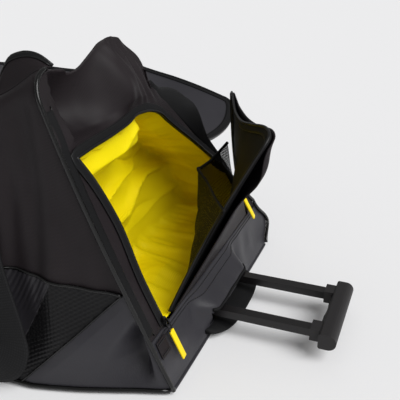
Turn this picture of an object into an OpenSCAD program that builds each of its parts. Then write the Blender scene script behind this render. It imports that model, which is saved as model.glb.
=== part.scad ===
// Wheeled hockey equipment bag: soft shell on a stiff base, end pocket, telescopic handle and wheels.
// The handle end points to +X, the near side to -Y, and the base stands on z = 0.

/* [Bag shell] */
// Length of the base
bag_len = 940; // [900:5:1000]
// Width of the base at both ends
base_w = 460; // [440:2:480]
// Height of the near top edge
near_h = 440; // [425:1:455]
// Height of the slumped far top edge
far_h = 320; // [312:1:330]
// Distance of the slumped far top edge from the middle
far_top_y = 40; // [34:1:48]
// Height where the far side folds over
knee_z = 93; // [85:1:100]
// Outward lean of the near top edge
near_lean = 40; // [30:1:46]
// Radius of the near top corner
top_round = 34; // [26:1:40]
// How far both sides belly out at the floor, half way along
side_bulge = 58; // [40:1:66]
// Inward lean of the handle end in degrees
end_lean = 19.5; // [18:0.1:21]
// Inward lean of the wheel end in degrees
wheel_end_lean = 7; // [5:0.5:9]
// Thickness of the padded cloth
cloth = 3; // [2:0.1:3.4]
// Thickness of the stiff base board
board_t = 5; // [4:0.1:6]
// Width of the border along the near top edge
border_w = 46; // [38:1:52]
// Rise of the hump in the handle end's top edge
hump_rise = 7; // [2:0.5:12]
// Diameter of the piping cord
piping_d = 6; // [4:0.2:8]

/* [End pocket] */
// Height of the flap's hinge seam
hinge_z = 88; // [84:0.5:96]
// Half length of the hinge seam
hinge_half = 196; // [188:1:202]
// Height of the opening's top edge
open_top = 337; // [325:1:345]
// Angle that the flap stands open in degrees
flap_open = 30; // [20:1:40]
// Length of the flap from hinge to top edge
flap_len = 265; // [250:1:275]
// Depth of the yellow lining, from the base's end
pocket_depth = 245; // [220:1:260]
// Width of the zip tape
tape_w = 9; // [7:0.5:11]
// Thickness of the zip tape
tape_t = 1.5; // [1:0.1:1.8]
// Length of the pull tabs
pull_len = 50; // [40:1:56]
// Width of the pull tabs
pull_w = 10.5; // [8:0.5:12]

/* [Main lid] */
// Width of the lid from hinge to front edge
lid_w = 292; // [285:1:300]
// Angle of the lid below level, thrown back, in degrees
lid_droop = 5; // [2:1:12]
// Gap between the lid's ends and the end panels
lid_end_gap = 17; // [12:1:22]

/* [Telescopic handle] */
// Distance between the rods, centre to centre
rod_pitch = 108; // [100:1:116]
// Sideways place of the handle's middle
handle_y = -14; // [-20:1:-6]
// Height of the rods' middle
rod_z = 37; // [35:0.5:40]
// Rod width
rod_w = 17; // [15:0.5:18]
// Rod height
rod_h = 12.5; // [11:0.5:14]
// Clearance between rod and outer tube
rod_clear = 0.4; // [0.3:0.05:0.6]
// Wall of the outer tubes
tube_wall = 1.5; // [1.2:0.1:2]
// Length of the outer tubes
tube_len = 600; // [580:5:640]
// Length of the rods
rod_len = 500; // [480:5:520]
// How far the rods stand out of the end panel at rest
rod_out = 172; // [165:1:180]
// Length of the grip
grip_len = 158; // [150:1:170]
// Thickness of the grip along the bag
grip_t = 27; // [25:0.5:30]
// Height of the grip
grip_h = 25; // [23:0.5:28]
// Travel of the release trigger
trigger_travel = 4; // [3:0.5:5]

/* [Wheels] */
// Outer radius of the tyres
wheel_r = 42; // [38:0.5:44]
// Width of the tyres
wheel_w = 30; // [26:0.5:34]
// Radius of the wheel axles
axle_r = 4; // [3.5:0.1:5]
// Distance between the wheels' middles
wheel_track = 350; // [340:1:360]
// Running clearance of hub on axle
wheel_clear = 0.06; // [0.04:0.01:0.09]
// Wall of the wheel housings
housing_wall = 3.5; // [3:0.1:4.5]

/* [Carry straps] */
// Width of the webbing
strap_w = 50; // [45:1:52]
// Thickness of the webbing
strap_t = 3; // [2.5:0.1:4]
// Distance between a strap's two legs, middle to middle
strap_span = 400; // [360:5:440]
// Height of the near strap's seam
strap_z = 250; // [235:1:260]
// Place of the straps along the bag
strap_x = 70; // [40:1:80]

/* [Hidden] */

$fn = 48;
half_len = bag_len / 2;
half_w = base_w / 2;
// Clearance between soft pieces
gap = 0.4;
// Number of facets along and up a soft wall
wall_nx = 14;
wall_nz = 8;
wall_z0 = cloth + gap;
end_tan = tan(end_lean);
wheel_tan = tan(wheel_end_lean);
far_slope = (far_top_y - half_w) / (far_h - knee_z);
hump_y = -75;
lid_t = 4;

black = "#1f1c1e";
grey = "#3d3c40";
yellow = "#e6d200";
plastic = "#2d2a2b";

// Outer face of the two ends at height z
function end_x(z) = half_len - end_tan * z;
function wheel_x(z) = -half_len + wheel_tan * z;

// Outer face of the near side at its ends, with the round top corner
function near_flat(z) = -half_w - near_lean * sin(90 * min(1, z / (near_h - top_round)));
function corner_in(z) = let (d = max(0, z - near_h + top_round) / top_round)
    top_round * (1 - sqrt(max(0, 1 - d * d)));
function near_y(z) = near_flat(z) + corner_in(z);

// Outer face of the far side at its ends: upright to the knee, then folded inwards
function far_y(z) = z < knee_z ? half_w : half_w + far_slope * (z - knee_z);

// The sides belly out between the ends, most at the floor
function belly(x, z) = side_bulge * (1 - pow(abs(x) / half_len, 4)) * max(0, 1 - z / 300);

// Smooth curve through control points
function blend4(p, t) = 0.5 * (2 * p[1] + (p[2] - p[0]) * t + (2 * p[0] - 5 * p[1] + 4 * p[2] - p[3]) *
    t * t
    + (3 * p[1] - p[0] - 3 * p[2] + p[3]) * t * t * t);
function at(p, i) = p[max(0, min(len(p) - 1, i))];
function smooth(p, n) = concat([for (i = [0:len(p) - 2], k = [0:n - 1])
    blend4([at(p, i - 1), p[i], p[i + 1], at(p, i + 2)], k / n)], [p[len(p) - 1]]);

// Outline moved outwards from its middle by a distance
function middle(p) = [for (c = [0, 1]) [for (q = p) 1] * [for (q = p) q[c]] / len(p)];
function grow(p, d) = let (m = middle(p)) [for (q = p) q + (q - m) * d / norm(q - m)];

// Places in the leaning end plane: sideways y and distance up the panel
function up_panel(p) = [for (q = p) [q[0], q[1] / cos(end_lean)]];

// Top edge of the handle end, from the near corner over the hump to the far corner
top_edge = smooth([[near_y(near_h), near_h], [hump_y - 108, near_h - 9], [hump_y - 65, near_h - 10],
    [hump_y - 28, near_h + 4], [hump_y + 8, near_h + hump_rise], [hump_y + 38, near_h - 8],
    [hump_y + 66, near_h - 52], [far_top_y - 16, far_h + 26], [far_top_y, far_h]], 3);
near_edge = concat([for (i = [0:10]) let (z = wall_z0 + (near_h - top_round - wall_z0) * i / 10)
    [near_y(z), z]],
    [for (i = [1:5]) let (z = near_h - top_round + top_round * sin(18 * i)) [near_y(z), z]]);
end_outline = concat(near_edge, [for (i = [1:len(top_edge) - 1]) top_edge[i]],
    [[half_w, knee_z], [half_w, wall_z0]]);

// Pocket opening, sheared towards the near side as the bag slumps
open_edge = smooth([[-hinge_half, hinge_z], [-hinge_half - 18, hinge_z + 112],
    [-hinge_half - 32, open_top - 24],
    [-hinge_half - 8, open_top], [hump_y - 24, open_top], [hump_y + 22, open_top + 3],
    [hump_y + 48, open_top - 3], [hump_y + 74, open_top - 16], [hump_y + 105, open_top - 46],
    [hump_y + 187, hinge_z + 118], [hinge_half - 8, hinge_z + 14], [hinge_half, hinge_z]], 3);

// Flap in its own plane, with rounded top corners
flap_near = -94;
flap_far = 122;
flap_round = 22;
flap_foot = hinge_half - 24;

// A closed cloth sheet through a grid of points, with its thickness along one direction
module sheet(grid, depth) {
    nr = len(grid);
    nc = len(grid[0]);
    count = nr * nc;
    front = [for (row = grid, q = row) q];
    turn = cross(grid[0][1] - grid[0][0], grid[1][0] - grid[0][0]) * depth > 0;
    function quad(a, b, c, d) = turn ? [[a, b, c], [a, c, d]] : [[a, c, b], [a, d, c]];
    skin = [for (i = [0:nr - 2], j = [0:nc - 2])
        let (a = i * nc + j) each quad(a, a + 1, a + nc + 1, a + nc)];
    back = [for (f = skin) [f[0] + count, f[2] + count, f[1] + count]];
    loop = concat([for (j = [0:nc - 1]) j], [for (i = [1:nr - 1]) i * nc + nc - 1],
        [for (j = [nc - 2:-1:0]) (nr - 1) * nc + j], [for (i = [nr - 2:-1:1]) i * nc]);
    rim = [for (k = [0:len(loop) - 1]) let (a = loop[k], b = loop[(k + 1) % len(loop)])
        each quad(b, a, a + count, b + count)];
    polyhedron(concat(front, [for (q = front) q + depth]), concat(skin, back, rim));
}

// Shapes drawn as (sideways, up) and raised along X
module along_x(thick) rotate([90, 0, 90]) linear_extrude(thick) children();
// Shapes in the leaning end plane, with their inner face off the panel's outer face
module on_end(off, thick) translate([half_len, 0, 0]) rotate([0, -end_lean, 0])
    translate([off, 0, 0]) along_x(thick) children();
// Everything behind the end panel
module behind_end(off) translate([half_len, 0, 0]) rotate([0, -end_lean, 0])
    translate([off - bag_len, -base_w, -base_w]) cube([bag_len, 2 * base_w, 3 * base_w]);

// Plan of the base: straight ends and bellied sides
function plan(inset, x0, x1) = concat(
    [for (i = [0:12]) let (x = x0 + (x1 - x0) * i / 12) [x, -half_w - belly(x, 0) + inset]],
    [for (i = [12:-1:0]) let (x = x0 + (x1 - x0) * i / 12) [x, half_w + belly(x, 0) - inset]]);

// Wheel places and the room that the housings take out of the base
wheel_cx = -half_len + 22;
wheel_cz = wheel_r;
housing_in = wheel_w / 2 + 6 + housing_wall;
housing_x0 = wheel_cx - 22;
housing_x1 = wheel_cx + wheel_r + 16;
housing_h = 2 * wheel_r + 18;
// How far the cuts for the wheels reach past them
cut_reach = 60;
module housing_room(extra) for (s = [-1, 1])
    translate([housing_x0 - cut_reach, s * wheel_track / 2 - housing_in - extra, -1])
        cube([housing_x1 - housing_x0 + cut_reach + extra, 2 * (housing_in + extra), housing_h + 1 +
            extra]);

module bottom_panel() color(grey) difference() {
    linear_extrude(cloth) polygon(plan(0, -half_len, half_len));
    housing_room(gap);
}
module base_board() color(plastic) difference() {
    translate([-half_len + 14, -half_w + 24, cloth + gap])
        cube([bag_len - 34, base_w - 48, board_t]);
    housing_room(gap);
}

// Side walls as bellied sheets between two stations along the bag and two heights
function near_point(u, z) = let (x0 = wheel_x(z) + cloth + gap, x1 = end_x(z) - cloth / cos(end_lean) - gap,
    x = x0 + (x1 - x0) * u) [x, near_y(z) - belly(x, z), z];
function far_point(u, z) = let (x0 = wheel_x(z) + cloth + gap, x1 = end_x(z) - cloth / cos(end_lean) - gap,
    x = x0 + (x1 - x0) * u) [x, far_y(z) + belly(x, z), z];
// Seam heights of the near side: embossed panel and corner panel below them
emboss_u0 = 10 / wall_nx;
corner_u0 = 12 / wall_nx;
seam_h = 158;
corner_h = 150;
// The seam between them climbs from the floor to the end's edge
diag_x0 = half_len - 213;
diag_slope = 0.965;
u_gap = gap / bag_len;
function diag_u(z) = let (x0 = near_point(0, z)[0], x1 = near_point(1, z)[0])
    (diag_x0 + diag_slope * z - x0) / (x1 - x0);
module near_wall(u0, u1, z0, z1, nx, nz) sheet([for (i = [0:nz]) let (z = z0 + (z1 - z0) * i / nz)
    [for (j = [0:nx]) near_point(u0 + (u1 - u0) * j / nx, z)]], [0, cloth, 0]);
module far_wall(u0, u1, z0, z1, nx, nz) sheet([for (i = [0:nz]) let (z = z0 + (z1 - z0) * i / nz)
    [for (j = [0:nx]) far_point(u0 + (u1 - u0) * j / nx, z)]], [0, -cloth, 0]);

// The upper rows follow the round corner, and stop just short of level
corner_end = 0.98;
near_rows = concat([for (i = [0:wall_nz]) seam_h + gap + (near_h - top_round - seam_h - gap) * i / wall_nz],
    [for (i = [1:4]) near_h - top_round + top_round * sin(90 * i / 4) * corner_end]);
module near_side_panel() color(black) {
    sheet([for (z = near_rows) [for (j = [0:wall_nx]) near_point(j / wall_nx, z)]], [0, cloth, 0]);
    near_wall(0, emboss_u0, wall_z0, seam_h + gap, 10, 4);
}
module near_embossed_panel() color("#1a181a")
    sheet([for (i = [0:5]) let (z = wall_z0 + (seam_h - wall_z0) * i / 5, u1 = diag_u(z) - u_gap)
        [for (j = [0:4]) near_point(emboss_u0 + u_gap + (u1 - emboss_u0 - u_gap) * j / 4, z)]],
            [0, cloth, 0]);
module near_corner_panel() color(grey)
    sheet([for (i = [0:5]) let (z = wall_z0 + (corner_h - wall_z0) * i / 5, u0 = diag_u(z) + u_gap)
        [for (j = [0:4]) near_point(u0 + (1 - u0) * j / 4, z)]], [0, cloth, 0]);
module far_side_panel() color(black) {
    far_wall(0, corner_u0, wall_z0, knee_z + gap, 12, 3);
    sheet([for (z = [knee_z + gap, knee_z + 60, knee_z + 120, far_h - 30, far_h])
        [for (j = [0:wall_nx]) far_point(j / wall_nx, z)]], [0, -cloth, 0]);
}
module far_corner_panel() color(grey) far_wall(corner_u0 + u_gap, 1, wall_z0, knee_z, 2, 3);

// Handle end: black cloth around the opening above the hinge seam, grey coated cloth below it
module end_cut(z0, z1) translate([-2 * base_w, z0 / cos(end_lean)])
    square([4 * base_w, (z1 - z0) / cos(end_lean)]);
slot_half = rod_pitch / 2 + rod_w / 2 + 12;
slot_h = rod_h + 26;
module end_upper_panel() color(black) on_end(-cloth, cloth) difference() {
    intersection() {
        polygon(up_panel(end_outline));
        end_cut(hinge_z - 6, 2 * near_h);
    }
    polygon(up_panel(open_edge));
}
module end_lower_panel() color(grey) on_end(-cloth, cloth) difference() {
    intersection() {
        polygon(up_panel(end_outline));
        end_cut(wall_z0 + 1, hinge_z - 6 - gap);
    }
    translate([handle_y - slot_half, (rod_z - slot_h / 2) / cos(end_lean)])
        square([2 * slot_half, slot_h / cos(end_lean)]);
}

// Wheel end: the same slumped section, with notches for the wheel housings
wheel_outline = concat(near_edge, [[far_top_y, far_h], [half_w, knee_z], [half_w, wall_z0]]);
module wheel_end_panel() color(black) difference() {
    translate([-half_len, 0, 0]) rotate([0, wheel_end_lean, 0]) along_x(cloth)
        polygon([for (q = wheel_outline) [q[0], q[1] / cos(wheel_end_lean) + cloth * wheel_tan]]);
    housing_room(gap);
}

// Border along the near top edge, from the side's seam to the main zip
border_z = near_h - top_round * (1 - corner_end) + gap;
module near_top_border() color(black) {
    y0 = near_y(near_h) - 6;
    x0 = wheel_x(near_h) + cloth + 2;
    x1 = end_x(near_h) - cloth - 2;
    translate([x0, y0, border_z]) cube([x1 - x0, border_w, cloth]);
}

// Piping cords along the two upright edges of the handle end, swept as level rings
piping_sides = 10;
pipe_off = (piping_d / 2 + gap) * sin(45);
function near_pipe(z) = [end_x(z) + pipe_off, near_y(z) - pipe_off, z];
function far_pipe(z) = [end_x(z) + pipe_off, far_y(z) + pipe_off, z];
module cord(points) {
    n = piping_sides;
    last = (len(points) - 1) * n;
    polyhedron([for (q = points, k = [0:n - 1]) q + piping_d / 2 * [cos(360 * k / n), sin(360 * k / n), 0]],
        concat([[for (k = [0:n - 1]) k], [for (k = [n - 1:-1:0]) last + k]],
            [for (i = [0:len(points) - 2], k = [0:n - 1]) let (a = i * n + k, b = i * n + (k + 1) % n)
                each [[a, a + n, b + n], [a, b + n, b]]]));
}
module near_piping() color(black) cord([for (i = [0:10]) near_pipe(6 + (near_h - top_round - 6) * i / 10)]);
module far_piping() color(black) cord([for (i = [0:4]) far_pipe(6 + (knee_z - 18) * i / 4)]);

// Yellow lining: an open-fronted bag behind the opening
lining_t = 2;
lining_floor = hinge_z - 10;
lining_out = [for (q = grow(open_edge, 9)) [q[0], max(lining_floor, q[1])]];
lining_in = [for (q = grow(open_edge, 9 - lining_t)) [q[0], max(lining_floor + lining_t, q[1])]];
pocket_x = half_len - pocket_depth;
module pocket_lining() color(yellow) intersection() {
    difference() {
        translate([pocket_x, 0, 0]) along_x(pocket_depth) polygon(lining_out);
        translate([pocket_x + lining_t, 0, 0]) along_x(pocket_depth) polygon(lining_in);
    }
    behind_end(-cloth);
}

module pocket_zip_tape() color("#0c0c0d") on_end(gap, tape_t) intersection() {
    difference() {
        polygon(up_panel(grow(open_edge, tape_w)));
        polygon(up_panel(grow(open_edge, 1)));
    }
    end_cut(hinge_z, 2 * near_h);
}

// Flap and what is sewn on it turn about the hinge seam
flap_off = cloth / 2 + 0.3;
hinge_s = hinge_z / cos(end_lean);
module on_flap(off, thick) translate([half_len, 0, 0]) rotate([0, -end_lean, 0])
    translate([flap_off, 0, hinge_s]) rotate([0, flap_open, 0])
        translate([off, 0, 0]) along_x(thick) children();
module flap_shape(inset) {
    top = flap_len - inset;
    r = flap_round;
    polygon(concat([[-flap_foot + inset, 0]],
        [for (i = [0:6]) let (a = 170 - 80 * i / 6)
            [flap_near + inset + r + r * cos(a), top - r + r * sin(a)]],
        [for (i = [0:6]) let (a = 90 - 80 * i / 6)
            [flap_far - inset - r + r * cos(a), top - r + r * sin(a)]],
        [[flap_foot - inset, 0]]));
}
module pocket_flap() color(black) {
    on_flap(-cloth / 2, cloth) flap_shape(0);
    translate([half_len, 0, 0]) rotate([0, -end_lean, 0]) translate([flap_off, 0, hinge_s])
        rotate([90, 0, 0])
        cylinder(h = 2 * flap_foot, r = cloth / 2, center = true);
}
module flap_zip_tape() color("#0c0c0d") on_flap(cloth / 2, tape_t) difference() {
    flap_shape(0);
    translate([0, -8]) flap_shape(tape_w);
}

// Mesh pocket on the flap's inner face, hanging away from it at the top
mesh_lean = 13;
mesh_t = 1.5;
mesh_off = 0.45;
mesh_len = 150;
module flap_mesh() color("#151516") translate([half_len, 0, 0]) rotate([0, -end_lean, 0])
    translate([flap_off, 0, hinge_s]) rotate([0, flap_open - mesh_lean, 0])
        translate([-mesh_t - mesh_off, 0, 0]) along_x(mesh_t)
            polygon([[-flap_foot + 8, 6], [flap_near - 40, mesh_len], [flap_far - 46, mesh_len],
                [flap_foot - 20, 6]]);

// Zip slider: a bridge on a wedge body that rides on the tape
slider_l = 15;
slider_w = 9;
slider_h = 5;
bridge_r = 2.2;
bridge_w = 1.6;
bridge_up = 2.9;
module slider_body() {
    difference() {
        linear_extrude(slider_h) polygon([[-slider_w * 0.3, -slider_l / 2], [slider_w * 0.3, -slider_l / 2],
            [slider_w / 2, slider_l * 0.3], [slider_w * 0.3, slider_l / 2], [-slider_w * 0.3, slider_l / 2],
            [-slider_w / 2, slider_l * 0.3]]);
        translate([-slider_w, 0, slider_h]) rotate([0, 90, 0]) cylinder(h = 2 * slider_w, r = bridge_r);
    }
    for (s = [-1, 1]) translate([-bridge_w / 2, s * (bridge_r + 1.4) - 1, slider_h - 0.5])
        cube([bridge_w, 2, bridge_up + 1]);
    translate([-bridge_w / 2, -bridge_r - 2.4, slider_h + bridge_up])
        cube([bridge_w, 2 * bridge_r + 4.8, 1.6]);
}
// Pull tab: a wire eye under the bridge and a flat tab
bar_r = 1;
eye_half = 3.6;
eye_z = slider_h + bar_r + gap;
eye_len = 20;
module pull_body() {
    translate([-eye_half - bar_r, 0, eye_z]) rotate([0, 90, 0])
        cylinder(h = 2 * (eye_half + bar_r), r = bar_r);
    for (s = [-1, 1]) translate([s * (eye_half + bar_r / 2) - bar_r / 2, -eye_len, eye_z - bar_r])
        cube([bar_r, eye_len, 2 * bar_r]);
    translate([-pull_w / 2, -eye_len + 4 - pull_len, eye_z - 1.7]) cube([pull_w, pull_len, 3.4]);
}
// Slider places on the end panel: at the two feet of the opening, leaning with its edges
slide_tilt_near = atan2(40, 249 / cos(end_lean));
slide_tilt_far = atan2(68, 118);
slider_s = (hinge_z + 2) / cos(end_lean);
slider_y = hinge_half + 3;
// The far slider is parked this far up its run, and its tab hangs a little off the line of the tape
far_parked = 48;
far_pull_tilt = 20;
far_slider_y = slider_y - far_parked * sin(slide_tilt_far);
far_slider_s = slider_s + far_parked * cos(slide_tilt_far);
module at_slider(y, s, tilt) translate([half_len, 0, 0]) rotate([0, -end_lean, 0])
    translate([gap * 2 + tape_t, y, s]) rotate([90, 0, 90]) rotate(tilt) children();
module near_slider() color("#101011") at_slider(-slider_y, slider_s, slide_tilt_near) slider_body();
module far_slider() color("#101011") at_slider(far_slider_y, far_slider_s, slide_tilt_far) slider_body();

module near_pull() color("#ffdd10") at_slider(-slider_y, slider_s, slide_tilt_near) pull_body();
module far_pull() color("#ffdd10") at_slider(far_slider_y, far_slider_s, far_pull_tilt) pull_body();

// Lid, thrown back about the far top edge
lid_x0 = wheel_x(near_h) + cloth + lid_end_gap;
lid_x1 = end_x(near_h) - cloth - lid_end_gap;
// The seam stands this far above the far side and outside it, so that the lid can fold down
lid_seat = 0.3;
lid_out = 0.5;
lid_hinge_y = far_top_y + lid_out;
lid_hinge_z = far_h + lid_seat + lid_t / 2;
module on_lid() translate([0, lid_hinge_y, lid_hinge_z]) rotate([-lid_droop, 0, 0]) children();
lid_round = 60;
// The tape stops this far from the seam, clear of the far side when the lid closes
seam_clear = 6;
lid_seam_x1 = end_x(far_h) - cloth - lid_end_gap;
module lid_plan(inset) hull() {
    translate([lid_x0 + inset, 0]) square([lid_seam_x1 - lid_x0 - 2 * inset, 1]);
    for (x = [lid_x0 + lid_round, lid_x1 - lid_round])
        translate([x, lid_w - lid_round]) circle(lid_round - inset);
}
module main_lid() color(grey) on_lid() {
    translate([0, 0, -lid_t / 2]) linear_extrude(lid_t) lid_plan(0);
    translate([lid_x0, 0, 0]) rotate([0, 90, 0]) cylinder(h = lid_seam_x1 - lid_x0, r = lid_t / 2);
}
module lid_zip_tape() color("#0c0c0d") on_lid() translate([0, 0, lid_t / 2]) linear_extrude(tape_t)
    difference() {
    lid_plan(0);
    translate([0, -6]) lid_plan(tape_w);
    translate([lid_x0, 0]) square([lid_seam_x1 - lid_x0, seam_clear]);
}

// Main zip slider parked on the border at the wheel end
module at_main_slider()
    translate([wheel_x(near_h) + 30, near_y(near_h) + border_w - 16, border_z + cloth + gap])
    rotate(90) children();
module main_slider() color("#101011") at_main_slider() slider_body();
module main_pull() color("#101011") at_main_slider() pull_body();

// Handle tubes, held by two brackets on the base board
board_top = cloth + gap + board_t;
tube_w = rod_w + 2 * rod_clear + 2 * tube_wall;
tube_h = rod_h + 2 * rod_clear + 2 * tube_wall;
tube_x1 = half_len - 34;
tube_x0 = tube_x1 - tube_len;
rod_x1 = half_len + rod_out;
rod_x0 = rod_x1 - rod_len;
near_rod_y = handle_y - rod_pitch / 2;
far_rod_y = handle_y + rod_pitch / 2;
module bar(x0, x1, y, w, h) translate([x0, y - w / 2, rod_z - h / 2]) cube([x1 - x0, w, h]);

// The lock pins ride on the tubes' outer walls and catch in holes at the stowed and full positions
pin_r = 2.5;
pin_hole_r = pin_r + 0.3;
plug_l = 30;
pin_x = rod_x0 + plug_l / 2;
stowed_shift = -150;
full_shift = 220;
module tube(y, out) color("#4a4a4d") difference() {
    bar(tube_x0, tube_x1, y, tube_w, tube_h);
    bar(tube_x0 - 1, tube_x1 + 1, y, tube_w - 2 * tube_wall, tube_h - 2 * tube_wall);
    for (d = [stowed_shift, full_shift]) translate([pin_x + d, y, rod_z]) rotate([-90 * out, 0, 0])
        cylinder(h = tube_w, r = pin_hole_r);
}
module near_tube() tube(near_rod_y, -1);
module far_tube() tube(far_rod_y, 1);
rod_wall = 1.4;
module rod(y) color(plastic) difference() {
    bar(rod_x0 + plug_l, rod_x1, y, rod_w, rod_h);
    bar(rod_x0 + plug_l - 1, rod_x1 + 1, y, rod_w - 2 * rod_wall, rod_h - 2 * rod_wall);
}
module near_rod() rod(near_rod_y);
module far_rod() rod(far_rod_y);

// Guide plug on each rod's foot: it fits the tube and holds the lock pin across it
spigot_l = 18;
module rod_plug(y, out) color("#555558") difference() {
    union() {
        bar(rod_x0, rod_x0 + plug_l, y, rod_w, rod_h);
        bar(rod_x0 + plug_l - 1, rod_x0 + plug_l + spigot_l, y, rod_w - 2 * rod_wall - 0.2, rod_h - 2 *
            rod_wall - 0.2);
    }
    translate([pin_x, y, rod_z]) rotate([-90 * out, 0, 0]) translate([0, 0, -rod_w / 2 + 3])
        cylinder(h = rod_w, r = pin_r + 0.05);
}
module near_rod_plug() rod_plug(near_rod_y, -1);
module far_rod_plug() rod_plug(far_rod_y, 1);
pin_l = rod_w - 7;
pin_reach = rod_w / 2 + rod_clear - 0.1;
module lock_pin(y, out) color("silver") translate([pin_x, y, rod_z]) rotate([-90 * out, 0, 0])
    translate([0, 0, pin_reach - pin_l]) cylinder(h = pin_l, r = pin_r);
module near_lock_pin() lock_pin(near_rod_y, -1);
module far_lock_pin() lock_pin(far_rod_y, 1);

bracket_l = 26;
bracket_pad = 9;
screw_off = 22;
bracket_y0 = near_rod_y - tube_w / 2 - bracket_pad;
bracket_y1 = far_rod_y + tube_w / 2 + bracket_pad;
bracket_h = rod_z + tube_h / 2 + 5 - board_top;
fit = 0.15;
module bracket(x0) difference() {
    translate([x0, bracket_y0, board_top]) cube([bracket_l, bracket_y1 - bracket_y0, bracket_h]);
    for (y =
        [near_rod_y, far_rod_y]) bar(x0 - 1, x0 + bracket_l + 1, y, tube_w + 2 * fit, tube_h + 2 * fit);
    translate([x0 - 1, near_rod_y + tube_w / 2 + bracket_pad, board_top + screw_l])
        cube([bracket_l + 2, rod_pitch - tube_w - 2 * bracket_pad, bracket_h]);
    for (y = [handle_y - screw_off, handle_y + screw_off]) translate([x0 + bracket_l / 2, y, board_top - 1])
        cylinder(h = 40, r = 2.2);
}
module front_bracket() color(plastic) bracket(tube_x1 - bracket_l);
module rear_bracket() color(plastic) {
    bracket(tube_x0);
    translate([tube_x0 - 4, bracket_y0, board_top]) cube([4, bracket_y1 - bracket_y0, bracket_h]);
}
screw_l = 14;
module bracket_screws() color("silver") for (x = [tube_x0, tube_x1 - bracket_l], s = [-1, 1])
    translate([x + bracket_l / 2, handle_y + s * screw_off, board_top]) {
        cylinder(h = screw_l, r = 2);
        translate([0, 0, screw_l]) cylinder(h = 2.6, r = 4);
    }

// Cloth sleeve over the tubes, and the lip of the slot that the rods come out of
sleeve_t = 2;
sleeve_h = rod_z + tube_h / 2 + 9 - board_top;
module handle_sleeve() color(black) difference() {
    translate([tube_x0 - 16, bracket_y0 - 8, board_top])
        cube([tube_len + 14, bracket_y1 - bracket_y0 + 16, sleeve_h]);
    translate([tube_x0 - 16 + sleeve_t, bracket_y0 - 8 + sleeve_t, board_top - 1])
        cube([tube_len + 20, bracket_y1 - bracket_y0 + 16 - 2 * sleeve_t, sleeve_h + 1 - sleeve_t]);
}
lip_z = rod_z - slot_h / 2 - cloth;
lip_out = 34;
module throat_lip() color(black) intersection() {
    translate([end_x(lip_z) + gap, handle_y, lip_z]) difference() {
        cylinder(h = cloth, r = slot_half, $fn = 64);
        translate([-2 * slot_half, -2 * slot_half, -1]) cube([2 * slot_half, 4 * slot_half, cloth + 2]);
    }
    translate([end_x(lip_z), handle_y - slot_half, 0]) cube([lip_out, 2 * slot_half, 2 * lip_z]);
}

// Bar grip with a full round outer face and two rod sockets
grip_x0 = rod_x1 - 4;
socket_l = 15;
socket_w = rod_w + 8;
socket_h = rod_h + 8;
trigger_len = rod_pitch - socket_w - 10;
trigger_t = 7;
trigger_h = 11;
module grip_profile() {
    r = grip_h / 2;
    polygon(concat([[0, -r + 3], [1, -r + 1], [3, -r]],
        [for (i = [0:12]) let (a = -90 + 180 * i / 12) [grip_t - r + r * cos(a), r * sin(a)]],
        [[3, r], [1, r - 1], [0, r - 3]]));
}
module grip() color("#353233") difference() {
    union() {
        translate([grip_x0, handle_y + grip_len / 2, rod_z]) rotate([90, 0, 0]) linear_extrude(grip_len)
            grip_profile();
        for (y = [near_rod_y, far_rod_y]) bar(grip_x0 - socket_l, grip_x0 + 2, y, socket_w, socket_h);
    }
    for (y =
        [near_rod_y, far_rod_y]) bar(grip_x0 - socket_l - 1, rod_x1 + 0.2, y, rod_w + 0.2, rod_h + 0.2);
    translate([grip_x0 - 1, handle_y - trigger_len / 2 - gap, rod_z - trigger_h / 2 - gap])
        cube([trigger_t + trigger_travel + 2, trigger_len + 2 * gap, trigger_h + 2 * gap]);
}
module release_trigger() color("#1c1b1c")
    translate([grip_x0 - 3, handle_y - trigger_len / 2, rod_z - trigger_h / 2])
    difference() {
        cube([trigger_t, trigger_len, trigger_h]);
        translate([-120, trigger_len / 2, -1]) cylinder(h = trigger_h + 2, r = 121.5, $fn = 96);
    }

// Wheels in housings at the two bottom corners of the wheel end
hub_r = wheel_r - 11;
boss_w = wheel_w + 4;
module at_wheel(s) translate([wheel_cx, s * wheel_track / 2, wheel_cz]) rotate([-90, 0, 0]) children();
module tyre(s) color("#161616") at_wheel(s) rotate_extrude($fn = 72)
    polygon(concat([[hub_r + 0.05, -wheel_w / 2 + 1.5],
    [wheel_r - 7, -wheel_w / 2]], [for (i = [0:8]) let (a = -70 + 140 * i / 8)
    [wheel_r - 5 + 5 * cos(a), (wheel_w / 2 - 4) * sin(a) / sin(70)]], [[wheel_r - 7, wheel_w / 2],
    [hub_r + 0.05, wheel_w / 2 - 1.5]]));
spokes = 5;
module hub(s) color("#57575a") at_wheel(s) difference() {
    union() {
        translate([0, 0, -wheel_w / 2 + 1.5]) difference() {
            cylinder(h = wheel_w - 3, r = hub_r);
            translate([0, 0, -1]) cylinder(h = wheel_w, r = hub_r - 4);
        }
        translate([0, 0, -boss_w / 2]) cylinder(h = boss_w, r = axle_r + 5);
        for (k = [0:spokes - 1]) rotate(360 / spokes * k) translate([axle_r + 3, -3, -wheel_w / 2 + 5])
            cube([hub_r - axle_r - 5, 6, wheel_w - 10]);
    }
    cylinder(h = boss_w + 2, r = axle_r + wheel_clear, center = true);
}
module near_tyre() tyre(-1);
module far_tyre() tyre(1);
module near_hub() hub(-1);
module far_hub() hub(1);
axle_l = 2 * housing_in + 5;
module axle(s) color("silver") at_wheel(s) {
    translate([0, 0, -axle_l / 2]) cylinder(h = axle_l, r = axle_r);
    for (k = [-1, 1]) translate([0, 0, k * (axle_l / 2 + 1) - 1]) cylinder(h = 2, r = axle_r + 2.5);
}
module near_axle() axle(-1);
module far_axle() axle(1);

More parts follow.
